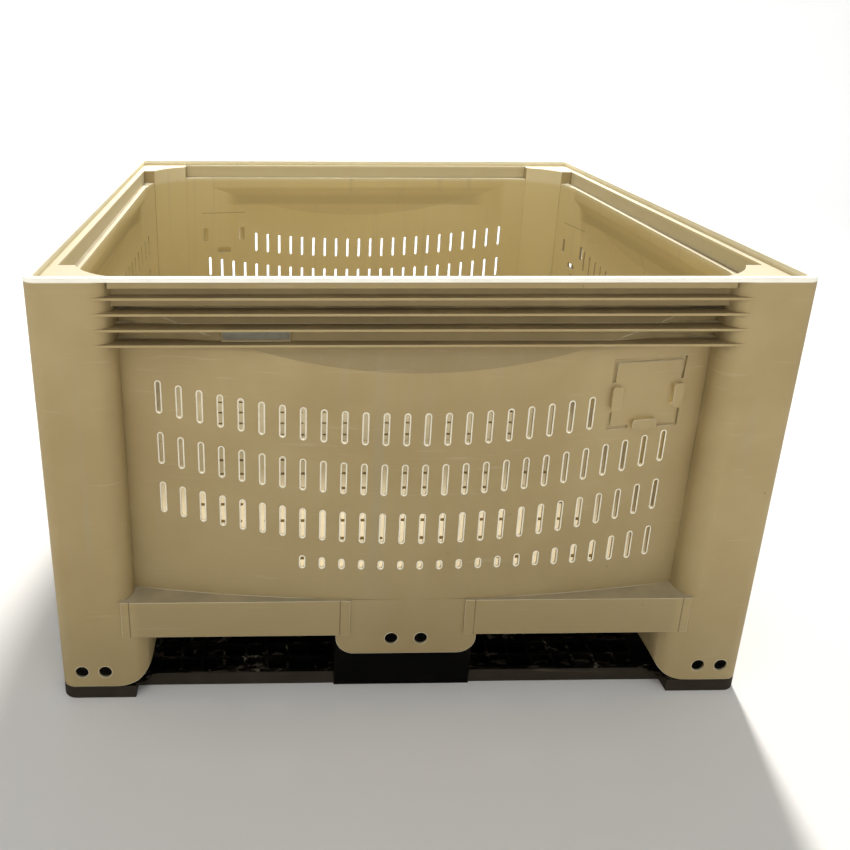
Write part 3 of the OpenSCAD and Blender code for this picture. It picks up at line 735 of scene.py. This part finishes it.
def slot_rim_tree(material):
    """A raised rim round every slot of a bowed wall, placed by the rule of its rows."""
    tree = bpy.data.node_groups.get("Slot rims")
    if tree:
        return tree
    sheet, put = geometry_tree("Slot rims", {
        "Columns": ("Int", END_COLUMNS), "Rows": ("Int", ROWS), "Spacing": ("Float", 0.03),
        "Row spacing": ("Float", 0.08), "Top row": ("Float", 0.48), "Row floor": ("Float", 0.24),
        "Rise": ("Float", 0.044), "Bow radius": ("Float", 2.2), "Wall face": ("Float", 0.6),
        "Slot width": ("Float", 0.0065), "Slot length": ("Float", 0.050), "Label from": ("Float", 0.28),
        "Short row from": ("Float", -0.2), "Turn": ("Float", 0.0)})
    columns, rows = put["Columns"], put["Rows"]
    line = sheet.out(sheet.add("GeometryNodeMeshLine", None, {"Count": columns * rows}))
    index = sheet.out(sheet.add("GeometryNodeInputIndex"))
    row = (index / columns + 0.001).floor()
    column = index - row * columns
    x = (column + 0.5 - columns * 0.5) * put["Spacing"]
    middle = put["Top row"] - row * put["Row spacing"] + put["Rise"] * (x * 2.5) ** 2.0
    high = middle + put["Slot length"] * 0.5
    low = (middle - put["Slot length"] * 0.5).larger(put["Row floor"])
    radius = put["Bow radius"]
    dip = radius - (radius * radius - x * x).sqrt()
    place = sheet.vector({0: x, 1: dip - put["Wall face"], 2: (high + low) * 0.5})
    turned = sheet.vector({2: (x / radius).arcsine()})
    # The rim of a slot that the level line cuts loses part of its straight sides
    cut = put["Slot length"] - (high - low)
    short = (row > 2.5) * (x < put["Short row from"])
    label = (row < 0.5) * (x > put["Label from"])
    gone = (short + label + ((high - low) < put["Slot width"] * 1.6)) > 0.5
    # Places, turns and cuts are kept on the points before any of them goes
    points = keep_value(sheet, line, "rim_turn", "FLOAT_VECTOR", turned)
    points = keep_value(sheet, points, "rim_cut", "FLOAT", cut)
    points = sheet.out(sheet.add("GeometryNodeSetPosition", None, {"Geometry": points, "Position": place}))
    points = sheet.out(sheet.add("GeometryNodeDeleteGeometry", {"domain": "POINT"}, {
        "Geometry": points, "Selection": gone}))

    outline = sheet.add("GeometryNodeCurvePrimitiveQuadrilateral", {"mode": "RECTANGLE"}, {
        "Width": put["Slot width"] + RIM_OFFSET * 2.0, "Height": put["Slot length"] + RIM_OFFSET * 2.0})
    oval = sheet.add("GeometryNodeFilletCurve", {"mode": "POLY"}, {
        "Curve": sheet.out(outline), "Radius": (put["Slot width"] + RIM_OFFSET * 2.0) * 0.49, "Count": 3})
    upright = sheet.add("GeometryNodeTransform", None, {
        "Geometry": sheet.out(oval), "Rotation": (math.pi / 2.0, 0.0, 0.0)})
    cross = sheet.add("GeometryNodeCurvePrimitiveCircle", None, {"Resolution": 4, "Radius": RIM_RADIUS})
    rim = sheet.out(sheet.add("GeometryNodeCurveToMesh", None, {
        "Curve": sheet.out(upright), "Profile Curve": sheet.out(cross)}))

    turn_read = kept_value(sheet, "rim_turn", "FLOAT_VECTOR")
    height = sheet.parts(sheet.out(sheet.add("GeometryNodeInputPosition")))[2]
    rim = keep_value(sheet, rim, "rim_end", "FLOAT", (height > 0.0) - 0.5)
    spread = sheet.add("GeometryNodeInstanceOnPoints", None, {
        "Points": points, "Instance": rim, "Rotation": turn_read})
    real = sheet.out(sheet.add("GeometryNodeRealizeInstances", None, {0: sheet.out(spread)}))
    shift = -(kept_value(sheet, "rim_cut", "FLOAT") * kept_value(sheet, "rim_end", "FLOAT"))
    drop = sheet.vector({2: shift})
    fitted = sheet.out(sheet.add("GeometryNodeSetPosition", None, {"Geometry": real, "Offset": drop}))
    spin = sheet.vector({2: put["Turn"]})
    onto = sheet.add("GeometryNodeTransform", None, {"Geometry": fitted, "Rotation": spin})
    end_tree(sheet, sheet.out(onto), material)
    return sheet.tree


def pair_tree(name, material):
    """A shape laid out twice side by side and turned onto its wall."""
    tree = bpy.data.node_groups.get(name)
    if tree:
        return tree
    sheet, put = geometry_tree(name, {
        "Spacing": ("Float", 0.04), "Across": ("Float", 0.0), "Out": ("Float", -0.6), "Up": ("Float", 0.05),
        "Turn": ("Float", 0.0)})
    start = sheet.vector({0: put["Across"] - put["Spacing"] * 0.5, 1: put["Out"], 2: put["Up"]})
    step = sheet.vector({0: put["Spacing"]})
    line = sheet.add("GeometryNodeMeshLine", None, {"Count": 2, "Start Location": start, "Offset": step})
    spread = sheet.add("GeometryNodeInstanceOnPoints", None, {
        "Points": sheet.out(line), "Instance": put["Geometry"]})
    spin = sheet.vector({2: put["Turn"]})
    onto = sheet.add("GeometryNodeTransform", None, {"Geometry": sheet.out(spread), "Rotation": spin})
    end_tree(sheet, sheet.out(onto), material)
    return sheet.tree


def bead_tree(material):
    """A slightly uneven bead that follows a path of edges."""
    tree = bpy.data.node_groups.get("Weld bead")
    if tree:
        return tree
    sheet, put = geometry_tree("Weld bead", {"Radius": ("Float", 0.0016), "Step": ("Float", 0.004)})
    path = sheet.out(sheet.add("GeometryNodeMeshToCurve", None, {"Mesh": put["Geometry"]}))
    even = sheet.add("GeometryNodeResampleCurve", {"mode": "LENGTH"}, {"Curve": path, "Length": put["Step"]})
    where = sheet.out(sheet.add("GeometryNodeInputPosition"))
    wander = sheet.noise(where, 130.0, 2.0)
    cross = sheet.add("GeometryNodeCurvePrimitiveCircle", None, {"Resolution": 8, "Radius": put["Radius"]})
    swept = sheet.add("GeometryNodeCurveToMesh", None, {
        "Curve": sheet.out(even), "Profile Curve": sheet.out(cross), "Scale": 0.7 + wander * 0.6,
        "Fill Caps": True})
    smooth = sheet.add("GeometryNodeSetShadeSmooth", None, {"Geometry": sheet.out(swept)})
    end_tree(sheet, sheet.out(smooth), material)
    return sheet.tree


def pin_mesh(sizes):
    """One pin along +Y from its head's face: a rounded head with a six-sided recess, and a plain shank."""
    head, shank = sizes.pin_head / 2.0, sizes.pin_shank / 2.0
    recess = head * 0.42
    thick, length = 0.005, 0.041
    # Rings as radius and depth. The first three are the recess.
    outline = [(recess * 0.98, 0.0022), (recess, 0.0004), (recess + 0.0006, 0.0), (head - 0.0016, 0.0),
               (head - 0.0005, 0.0005), (head, 0.0016), (head, thick - 0.0004), (head - 0.0004, thick),
               (shank, thick), (shank, length - 0.0015), (shank - 0.0012, length)]
    recess_rings, sides = 3, 36
    bm = bmesh.new()
    rings = []
    for ring, (radius, deep) in enumerate(outline):
        made = []
        for side in range(sides):
            angle = 2.0 * math.pi * side / sides
            reach = radius
            if ring < recess_rings:
                # The recess is six-sided
                wedge = (angle + math.pi / 6.0) % (math.pi / 3.0) - math.pi / 6.0
                reach = radius * math.cos(math.pi / 6.0) / math.cos(wedge)
            made.append(bm.verts.new((reach * math.cos(angle), deep, reach * math.sin(angle))))
        rings.append(made)
    for near, far in zip(rings, rings[1:]):
        for side in range(sides):
            after = (side + 1) % sides
            bm.faces.new((near[side], near[after], far[after], far[side]))
    bm.faces.new(rings[0])
    bm.faces.new(rings[-1])
    bmesh.ops.recalc_face_normals(bm, faces=bm.faces)
    for face in bm.faces:
        face.smooth = len(face.verts) == 4
    for edge in bm.edges:
        edge.smooth = edge.calc_face_angle(0.0) < math.radians(35.0)
    mesh = bpy.data.meshes.new("pin")
    bm.to_mesh(mesh)
    bm.free()
    return mesh


def ring_mesh(radius, thick):
    """A thin ring in the upright plane, round the way that a pin points."""
    bm = bmesh.new()
    turns = []
    sides = 24
    for side in range(sides):
        angle = 2.0 * math.pi * side / sides
        turns.append([bm.verts.new(((radius + out * thick) * math.cos(angle), deep * thick,
                                    (radius + out * thick) * math.sin(angle)))
                      for out, deep in ((1.0, 0.0), (0.0, -1.0), (-1.0, 0.0), (0.0, 1.0))])
    for near, far in zip(turns, turns[1:] + turns[:1]):
        for corner in range(4):
            after = (corner + 1) % 4
            bm.faces.new((near[corner], near[after], far[after], far[corner]))
    bmesh.ops.recalc_face_normals(bm, faces=bm.faces)
    for face in bm.faces:
        face.smooth = True
    mesh = bpy.data.meshes.new("ring")
    bm.to_mesh(mesh)
    bm.free()
    return mesh


def path_mesh(name, paths):
    """A mesh of edges along open paths."""
    mesh = bpy.data.meshes.new(name)
    points, edges = [], []
    for path in paths:
        first = len(points)
        points += path
        edges += [(first + i, first + i + 1) for i in range(len(path) - 1)]
    mesh.from_pydata(points, edges, [])
    return mesh


# One operator for each piece or group of like pieces

class BIN_OT_halves(bpy.types.Operator):
    """Round the edges of the two moulded halves and give them weathered plastic"""
    bl_idname = "fruit_bin.halves"
    bl_label = "Moulded halves"

    def execute(self, context):
        sizes = context.scene.bin_sizes
        front = rounded_copy("front_half_shell", "front_half_moulding", sizes.shell_round)
        # The rear half is the same moulding, turned half round
        mesh = front.data.copy()
        mesh.name = "rear_half_moulding"
        mesh.transform(Matrix.Rotation(math.pi, 4, "Z"))
        rear = linked("rear_half_moulding", mesh)
        for piece, node in ((front, "front_half_shell"), (rear, "rear_half_shell")):
            settle(context, flat_faces_kept(piece), "beige_plastic", [node])
        return {"FINISHED"}


class BIN_OT_slot_rims(bpy.types.Operator):
    """Lay a thin rim round each slot of the four bowed walls"""
    bl_idname = "fruit_bin.slot_rims"
    bl_label = "Slot rims"

    def execute(self, context):
        sizes = context.scene.bin_sizes
        # The rims take the pale rim finish, a painted glow round each slot
        tree = slot_rim_tree(finish_named(context, "pale_rim"))
        for wall, turn in WALL_TURNS.items():
            face, across, columns = sizes.half_depth, sizes.half_width, END_COLUMNS
            if wall in SIDE_WALLS:
                face, across, columns = across, face, SIDE_COLUMNS
            half = across - sizes.post_reach
            piece = grown(wall + "_slot_rims", tree, {
                "Columns": columns, "Rows": ROWS, "Spacing": sizes.slot_pitch, "Row spacing": sizes.row_pitch,
                "Top row": sizes.row_top, "Row floor": sizes.row_floor, "Rise": sizes.row_rise,
                "Bow radius": (half ** 2 + sizes.bow_rise ** 2) / (2.0 * sizes.bow_rise), "Wall face": face,
                "Slot width": sizes.slot_width, "Slot length": sizes.slot_length,
                "Label from": half - LABEL_ROOM, "Short row from": -SHORT_ROW_START * sizes.slot_pitch,
                "Turn": math.radians(turn)})
            settle(context, piece, "beige_plastic")
        return {"FINISHED"}


class BIN_OT_weld(bpy.types.Operator):
    """Run the bead of the weld across the floor and down the two side walls"""
    bl_idname = "fruit_bin.weld"
    bl_label = "Weld bead"

    def execute(self, context):
        sizes = context.scene.bin_sizes
        half, floor = WELD_FLOOR
        paths = [[(-half, 0.0, floor), (half, 0.0, floor)]]
        for side in (-1.0, 1.0):
            paths.append([(side * (sizes.half_width - inset), 0.0, up) for inset, up in WELD_WALL])
        piece = grown("weld_bead", bead_tree(finish_named(context, "beige_plastic")),
                      {"Radius": sizes.bead, "Step": WELD_STEP}, path_mesh("weld_path", paths))
        settle(context, piece, "beige_plastic")
        return {"FINISHED"}


class BIN_OT_runners(bpy.types.Operator):
    """Round the edges of the three black runners"""
    bl_idname = "fruit_bin.runners"
    bl_label = "Runners"

    def execute(self, context):
        sizes = context.scene.bin_sizes
        for node in ("front_runner", "middle_runner", "rear_runner"):
            piece = rounded_copy(node, node + "_moulding", sizes.runner_round)
            settle(context, flat_faces_kept(piece), "black_plastic", [node])
        return {"FINISHED"}


class BIN_OT_pins(bpy.types.Operator):
    """Set the pins in the feet"""
    bl_idname = "fruit_bin.pins"
    bl_label = "Pins"

    def execute(self, context):
        sizes = context.scene.bin_sizes
        tree = pair_tree("Pin pair", finish_named(context, "black_plastic"))
        ring_tree = pair_tree("Pin rims", finish_named(context, "worn_rim"))
        corner = sizes.half_width - CORNER_INSET
        places = {
            "front_left_pins": ("front", -corner, CORNER_PAIR),
            "front_middle_pins": ("front", 0.0, MIDDLE_PAIR),
            "front_right_pins": ("front", corner, CORNER_PAIR),
            "rear_left_pins": ("rear", corner, CORNER_PAIR),
            "rear_middle_pins": ("rear", 0.0, MIDDLE_PAIR),
            "rear_right_pins": ("rear", -corner, CORNER_PAIR),
            "left_middle_pins": ("left", 0.0, MIDDLE_PAIR),
            "right_middle_pins": ("right", 0.0, MIDDLE_PAIR)}
        for node, (wall, across, (spacing, up)) in places.items():
            face = sizes.half_width if wall in SIDE_WALLS else sizes.half_depth
            put = {"Spacing": spacing, "Across": across, "Up": up, "Turn": math.radians(WALL_TURNS[wall])}
            piece = grown(node + "_turned", tree, {**put, "Out": PIN_DEEP - face}, pin_mesh(sizes))
            settle(context, piece, "black_plastic", [node])
            ring = ring_mesh(sizes.pin_head / 2.0 + PIN_RIM, PIN_RIM)
            rims = grown(node + "_rims", ring_tree, {**put, "Out": -face}, ring)
            settle(context, rims, "beige_plastic")
        return {"FINISHED"}


class BIN_OT_plate(bpy.types.Operator):
    """Lay the bare identity plate between two ribs"""
    bl_idname = "fruit_bin.plate"
    bl_label = "Identity plate"

    def execute(self, context):
        piece = rounded_copy("id_plate", "id_plate_stamped", PLATE_ROUND)
        settle(context, flat_faces_kept(piece), "plate_metal", ["id_plate"])
        return {"FINISHED"}


class BIN_OT_stage(bpy.types.Operator):
    """Set out the pale floor, the soft lights and the camera"""
    bl_idname = "fruit_bin.stage"
    bl_label = "Stage"

    def light(self, kind, name, place, aim, size, power, colour):
        lamp = bpy.data.lights.new(name, kind)
        lamp.energy = power
        lamp.color = colour
        if kind == "SUN":
            lamp.angle = size
        else:
            lamp.shape = "DISK"
            lamp.size = size
        holder = linked(name, lamp)
        holder.location = place
        holder.rotation_euler = (Vector(aim) - Vector(place)).to_track_quat("-Z", "Y").to_euler()

    def ground(self):
        """A floor that is flat round the bin and rises far away, so that no horizon shows."""
        flat, step, steepness = 4.5, 0.5, 0.115
        rings, sides = 16, 96
        points = [(0.0, 0.0, 0.0)]
        for ring in range(rings):
            reach = flat + ring * step
            rise = steepness * (reach - flat) ** 2
            for side in range(sides):
                angle = 2.0 * math.pi * side / sides
                points.append((reach * math.cos(angle), reach * math.sin(angle), rise))
        faces = []
        for side in range(sides):
            after = (side + 1) % sides
            faces.append((0, 1 + side, 1 + after))
            for ring in range(rings - 1):
                near, far = 1 + ring * sides, 1 + (ring + 1) * sides
                faces.append((near + side, far + side, far + after, near + after))
        mesh = bpy.data.meshes.new("floor")
        mesh.from_pydata(points, [], faces)
        for face in mesh.polygons:
            face.use_smooth = True
        return linked("floor", mesh)

    def execute(self, context):
        stage = context.scene.bin_stage
        floor = self.ground()
        floor.data.materials.append(finish_named(context, "pale_floor"))

        world = bpy.data.worlds.new("surround")
        world.use_nodes = True
        back = world.node_tree.nodes["Background"]
        back.inputs["Color"].default_value = (0.96, 0.98, 1.0, 1.0)
        back.inputs["Strength"].default_value = stage.sky
        context.scene.world = world
        context.scene.view_settings.view_transform = "Standard"
        self.light("SUN", "key", *KEY, stage.key_strength, (1.0, 0.965, 0.90))
        self.light("AREA", "backdrop", *BACKDROP, stage.backdrop_power, (1.0, 1.0, 1.0))
        self.light("AREA", "fill", *FILL, stage.fill_power, (1.0, 0.98, 0.94))

        lens = bpy.data.cameras.new("camera")
        lens.sensor_width = 36.0
        lens.lens = stage.focal_pixels * lens.sensor_width / stage.frame_pixels
        lens.shift_x = (stage.frame_pixels / 2.0 - stage.middle_x) / stage.frame_pixels
        lens.shift_y = (stage.middle_y - stage.frame_pixels / 2.0) / stage.frame_pixels
        camera = linked("camera", lens)
        camera.location = stage.eye
        tilt = Matrix.Rotation(math.pi / 2.0 - stage.pitch, 3, "X") @ Matrix.Rotation(stage.roll, 3, "Z")
        camera.rotation_euler = (Matrix.Rotation(stage.yaw, 3, "Z") @ tilt).to_euler()
        context.scene.camera = camera
        return {"FINISHED"}


STEPS = (BIN_OT_halves, BIN_OT_slot_rims, BIN_OT_weld, BIN_OT_runners, BIN_OT_pins, BIN_OT_plate,
         BIN_OT_stage)


class VIEW3D_PT_fruit_bin(bpy.types.Panel):
    """Sizes, colours and steps of the fruit bin"""
    bl_label = "Fruit bin"
    bl_space_type = "VIEW_3D"
    bl_region_type = "UI"
    bl_category = "Fruit bin"

    def draw(self, context):
        for group in (context.scene.bin_sizes, context.scene.bin_colours, context.scene.bin_stage):
            column = self.layout.column(align=True)
            for name in group.__annotations__:
                column.prop(group, name)
        for step in STEPS:
            self.layout.operator(step.bl_idname)


GROUPS = {"bin_sizes": BinSizes, "bin_colours": BinColours, "bin_stage": BinStage}


def register():
    for group in GROUPS.values():
        bpy.utils.register_class(group)
    for name, group in GROUPS.items():
        setattr(bpy.types.Scene, name, bpy.props.PointerProperty(type=group))
    for step in STEPS:
        bpy.utils.register_class(step)
    bpy.utils.register_class(VIEW3D_PT_fruit_bin)


def unregister():
    bpy.utils.unregister_class(VIEW3D_PT_fruit_bin)
    for step in reversed(STEPS):
        bpy.utils.unregister_class(step)
    for name, group in GROUPS.items():
        delattr(bpy.types.Scene, name)
        bpy.utils.unregister_class(group)


def main():
    register()
    for step in STEPS:
        area, name = step.bl_idname.split(".")
        getattr(getattr(bpy.ops, area), name)()


if __name__ == "__main__":
    main()
